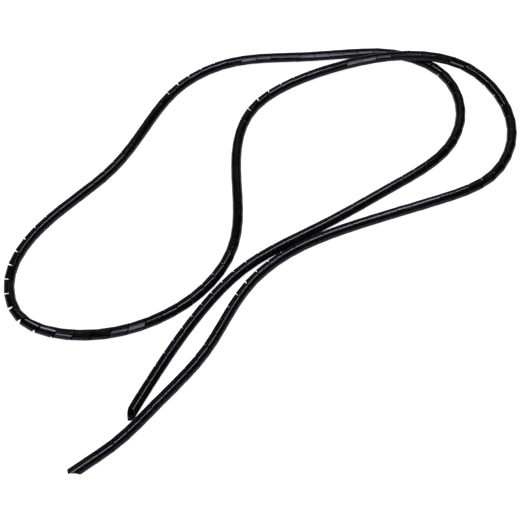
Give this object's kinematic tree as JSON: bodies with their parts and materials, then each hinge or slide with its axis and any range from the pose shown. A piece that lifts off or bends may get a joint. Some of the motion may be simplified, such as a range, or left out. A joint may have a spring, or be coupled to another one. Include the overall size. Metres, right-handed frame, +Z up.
{
  "type": "spiral cable wrap",
  "caption": "Length of black plastic spiral wrap, a tube slit along a left-handed helix to wind round a bundle of cables, laid in loose loops with both ends cut across the strip at a slant.",
  "frame": {"origin": "on the floor that the wrap lies on, under the middle of the part's outline", "axes": "+Z up from the floor; +X along the loops' long way, from the two cut ends towards the crossing; +Y across them, towards the far loop"},
  "size_m": [0.6079, 0.3165, 0.0205],
  "materials": {
    "black_polyethylene": "extruded, smooth and glossy, black with a faint violet cast in its highlights"
  },
  "bodies": {
    "root": {"spiral_wrap": "black_polyethylene"}
  },
  "joints": []
}
